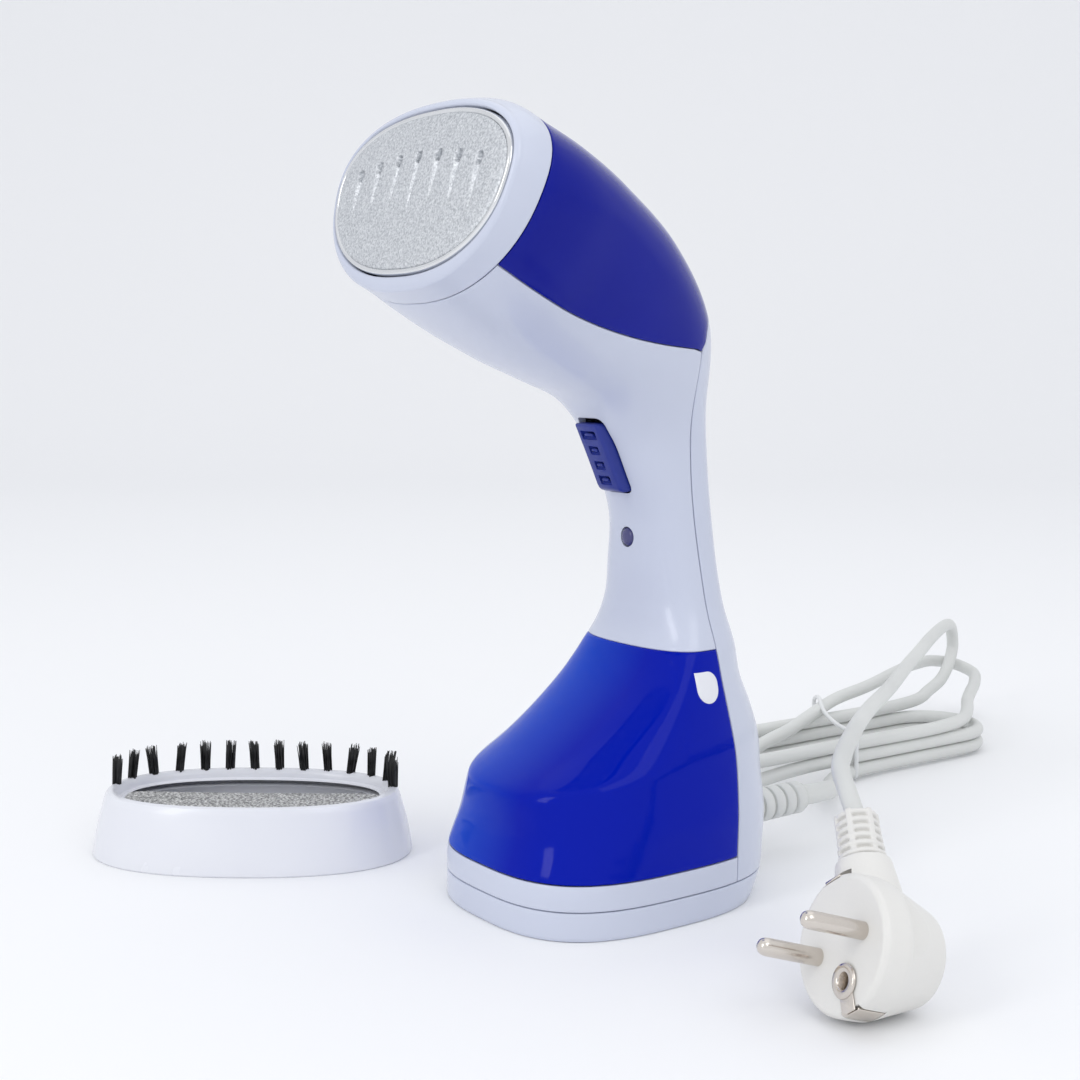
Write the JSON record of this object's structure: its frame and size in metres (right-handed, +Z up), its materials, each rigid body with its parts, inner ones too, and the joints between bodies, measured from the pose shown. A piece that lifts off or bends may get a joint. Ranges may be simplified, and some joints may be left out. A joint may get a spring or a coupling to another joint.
{
  "type": "handheld garment steamer",
  "caption": "Handheld garment steamer standing on its base, with a slide-off water tank, squeeze trigger, angled steam plate, brush attachment and mains lead.",
  "frame": {"origin": "centre of the base's flat underside, on the floor", "axes": "+Z up; -Y the front, which the steam plate and water tank face; +Y the back, where the mains lead leaves; +X the side of the tank's filler stopper"},
  "size_m": [0.2884, 0.4234, 0.2429],
  "materials": {
    "white_plastic": "gloss",
    "blue_plastic": "gloss",
    "tank_plastic": "gloss, translucent",
    "trigger_plastic": "satin",
    "lamp_plastic": "gloss",
    "cast_aluminium": "fine-grained cast, satin",
    "steel": "satin",
    "black_plastic": "matt",
    "black_rubber": "matt",
    "silicone": "matt",
    "copper": "satin",
    "circuit_board": "satin",
    "lead_plastic": "satin",
    "nickel": "polished",
    "lint_fabric": "directional pile"
  },
  "bodies": {
    "body": {"base_cap": "white_plastic", "base_band": "white_plastic", "front_housing": "white_plastic", "rear_housing": "white_plastic", "top_cover": "blue_plastic", "head_bezel": "white_plastic", "sole_plate": "cast_aluminium", "plate_gasket": "black_rubber", "steam_chamber": "cast_aluminium", "heating_element": "steel", "chamber_lid": "cast_aluminium", "thermostat": "black_plastic", "thermal_fuse": "silicone", "tank_socket": "white_plastic", "trigger_pin": "steel", "microswitch": "black_plastic", "lamp_lens": "lamp_plastic", "lamp_board": "circuit_board", "pump_coil": "copper", "pump_body": "white_plastic", "suction_hose": "silicone", "steam_hose": "silicone", "terminal_block": "white_plastic", "wiring_loom": "black_plastic", "base_screw_1": "steel", "base_screw_2": "steel", "base_screw_3": "steel", "base_screw_4": "steel", "housing_screw_1": "steel", "housing_screw_2": "steel", "cord_clamp": "white_plastic", "inner_cord": "lead_plastic", "strain_relief": "lead_plastic", "lead_out": "lead_plastic", "lead_hank": "lead_plastic", "lead_loop": "lead_plastic", "lead_tail": "lead_plastic", "lead_tie": "white_plastic", "plug_body": "lead_plastic", "plug_boot": "lead_plastic", "plug_pin_1": "nickel", "plug_pin_2": "nickel", "earth_socket": "nickel", "earth_clip_1": "nickel", "earth_clip_2": "nickel"},
    "tank": {"water_tank": "tank_plastic", "tank_outlet": "white_plastic", "tank_seal": "black_rubber", "tank_filter": "white_plastic"},
    "stopper": {"filler_stopper": "white_plastic"},
    "trigger": {"trigger": "trigger_plastic", "trigger_spring": "steel"},
    "switch": {"switch_button": "white_plastic"},
    "piston": {"pump_piston": "steel"},
    "brush": {"brush_frame": "white_plastic", "lint_pad": "lint_fabric", "bristles": "black_plastic"}
  },
  "joints": [
    {"name": "trigger_press", "type": "hinge", "parent": "body", "child": "trigger", "pos_m": [0, 0.0102, 0.1272], "axis": [-1, 0, 0], "range_deg": [0, 4], "stiffness_Nm_per_rad": 0.6, "springref_deg": -2.86},
    {"name": "switch_press", "type": "slide", "parent": "body", "child": "switch", "axis": [0, 1, 0], "range_m": [0, 0.001]},
    {"name": "tank_slide", "type": "slide", "parent": "body", "child": "tank", "axis": [0, -1, 0], "range_m": [0, 0.08]},
    {"name": "stopper_pull", "type": "slide", "parent": "tank", "child": "stopper", "axis": [1, 0, 0], "range_m": [0, 0.012]},
    {"name": "piston_stroke", "type": "slide", "parent": "body", "child": "piston", "axis": [0, 0, 1], "range_m": [-0.002, 0.002], "stiffness_N_per_m": 300},
    {"name": "brush_lift", "type": "slide", "parent": "body", "child": "brush", "axis": [0, 0, 1], "range_m": [0, 0.05]}
  ],
  "couplings": [
    {"joint": "switch_press", "follows": "trigger_press", "m_per_rad": 0.0135}
  ]
}
